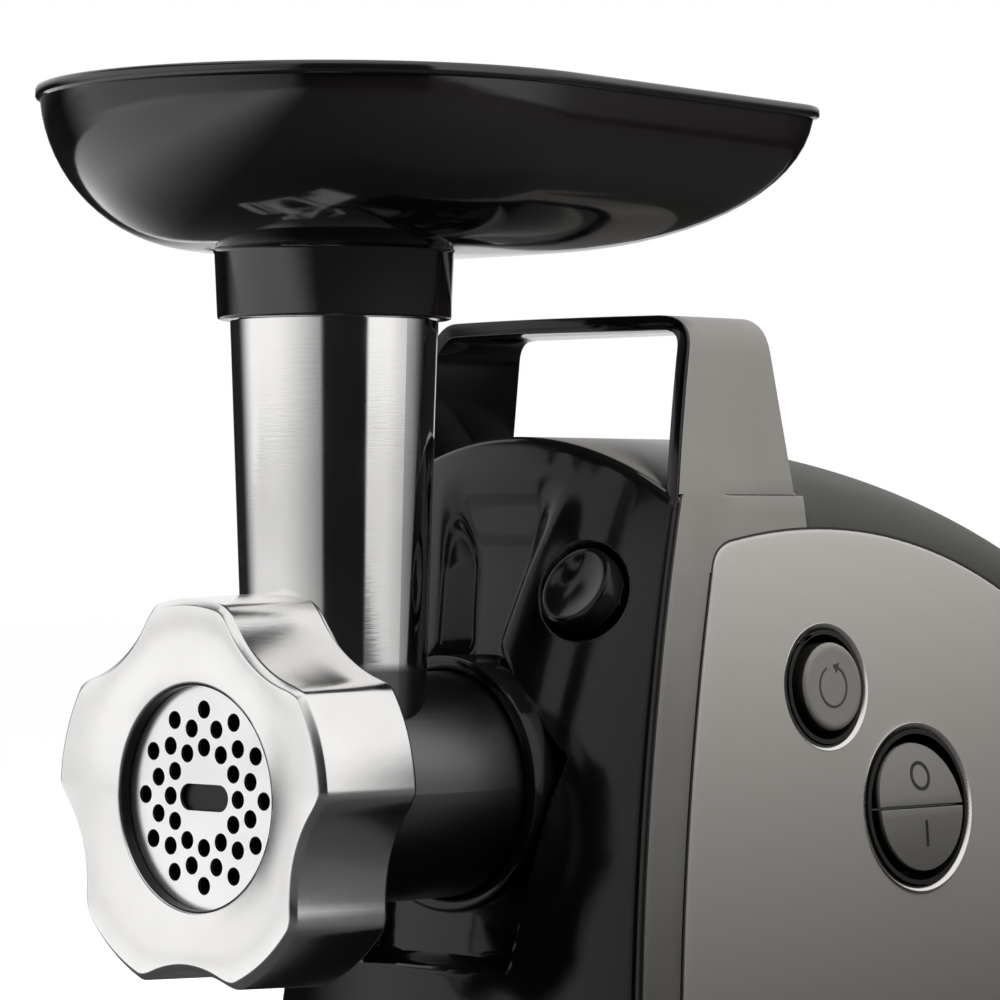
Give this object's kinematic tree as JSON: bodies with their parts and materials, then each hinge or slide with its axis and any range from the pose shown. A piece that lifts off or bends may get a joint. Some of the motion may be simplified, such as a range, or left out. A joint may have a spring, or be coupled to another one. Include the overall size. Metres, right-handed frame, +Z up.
{
  "type": "electric meat grinder",
  "caption": "Electric meat grinder: a hopper tray over a feed tube, a worm with knife and screen plate behind a screwed ring, and a geared motor in a casing with a carry handle.",
  "frame": {"origin": "on the table under the middle of the bounding box", "axes": "+X is the side with the switches, -Y is the mouth, +Z is up"},
  "size_m": [0.15, 0.394, 0.3115],
  "materials": {
    "black_gloss": "glossy black moulded plastic",
    "frame_grey": "satin warm grey moulded plastic",
    "cover_grey": "satin dark grey moulded plastic",
    "panel_silver": "silver painted panel",
    "button_grey": "satin grey plastic",
    "recess_black": "matt black plastic",
    "cast_aluminium": "polished casting",
    "ring_aluminium": "satin casting",
    "steel": "ground steel",
    "gear_steel": "machined steel",
    "lamination": "varnished lamination steel",
    "copper": "enamelled winding and copper",
    "bronze": "oil-filled bronze bush",
    "rubber": "soft rubber",
    "base_plastic": "textured black plastic",
    "case_plastic": "glass-filled plastic",
    "carbon": "pressed carbon",
    "board": "coated circuit board"
  },
  "bodies": {
    "housing": {"base_plate": "base_plastic", "rubber_feet": "rubber", "base_screws": "gear_steel", "circuit_board": "board", "cord_inlet": "recess_black", "grinder_head": "cast_aluminium", "release_spring": "gear_steel", "reverse_well": "recess_black", "reverse_spring": "gear_steel", "reverse_switch": "recess_black", "rocker_pin": "gear_steel", "power_well": "recess_black", "power_switch": "recess_black", "frame_band": "frame_grey", "main_cover": "cover_grey", "side_panel_left": "panel_silver", "side_panel_right": "panel_silver", "gear_case": "case_plastic", "gear_case_lid": "case_plastic", "output_bushes": "bronze", "layshaft_bushes": "bronze", "tie_rods": "gear_steel", "motor_front_plate": "cast_aluminium", "motor_rear_plate": "cast_aluminium", "motor_bearings": "bronze", "stator": "lamination", "field_coils": "copper", "brush_holders": "bronze", "carbon_brushes": "carbon", "carry_handle": "frame_grey", "front_shell": "black_gloss"},
    "motor": {"motor_shaft": "gear_steel", "motor_pinion": "gear_steel", "armature": "lamination", "armature_coils": "copper", "commutator": "copper", "cooling_fan": "case_plastic"},
    "layshaft": {"layshaft": "gear_steel", "layshaft_gear": "gear_steel", "layshaft_pinion": "gear_steel"},
    "drive": {"output_shaft": "gear_steel", "output_gear": "gear_steel", "auger": "cast_aluminium", "thrust_washer": "case_plastic", "knife": "steel"},
    "screen": {"screen_plate": "steel"},
    "ring": {"ring_nut": "ring_aluminium"},
    "tray": {"hopper_tray": "black_gloss"},
    "release": {"release_button": "black_gloss", "release_latch": "gear_steel"},
    "reverse": {"reverse_button": "button_grey"},
    "rocker": {"power_rocker": "button_grey"}
  },
  "joints": [
    {"name": "motor_spin", "type": "hinge", "parent": "housing", "child": "motor", "pos_m": [-0.01405, 0, 0.12295], "axis": [0, 1, 0], "continuous": true},
    {"name": "layshaft_spin", "type": "hinge", "parent": "housing", "child": "layshaft", "pos_m": [0, 0, 0.0855], "axis": [0, 1, 0], "continuous": true},
    {"name": "worm_spin", "type": "hinge", "parent": "housing", "child": "drive", "pos_m": [0, 0, 0.135], "axis": [0, 1, 0], "continuous": true},
    {"name": "screen_slide", "type": "slide", "parent": "housing", "child": "screen", "axis": [0, -1, 0], "range_m": [0, 0.008]},
    {"name": "ring_turn", "type": "hinge", "parent": "screen", "child": "ring", "pos_m": [0, -0.172, 0.135], "axis": [0, -1, 0], "range_deg": [0, 720]},
    {"name": "tray_lift", "type": "slide", "parent": "housing", "child": "tray", "axis": [0, 0, 1], "range_m": [0, 0.03]},
    {"name": "release_press", "type": "slide", "parent": "housing", "child": "release", "axis": [0, 0.8872, -0.4614], "range_m": [0, 0.003], "stiffness_N_per_m": 800, "springref_m": -0.003, "deforming": ["release_spring"]},
    {"name": "reverse_press", "type": "slide", "parent": "housing", "child": "reverse", "axis": [-0.9968, 0, -0.0797], "range_m": [0, 0.0025], "stiffness_N_per_m": 800, "springref_m": -0.003, "deforming": ["reverse_spring"]},
    {"name": "rocker_tip", "type": "hinge", "parent": "housing", "child": "rocker", "pos_m": [0.05669, 0.0347, 0.12618], "axis": [0, 1, 0], "range_deg": [0, 10]}
  ],
  "couplings": [
    {"joint": "layshaft_spin", "follows": "motor_spin", "ratio": -0.14286},
    {"joint": "worm_spin", "follows": "motor_spin", "ratio": 0.031746},
    {"joint": "screen_slide", "follows": "ring_turn", "m_per_rad": 0.00063662}
  ]
}
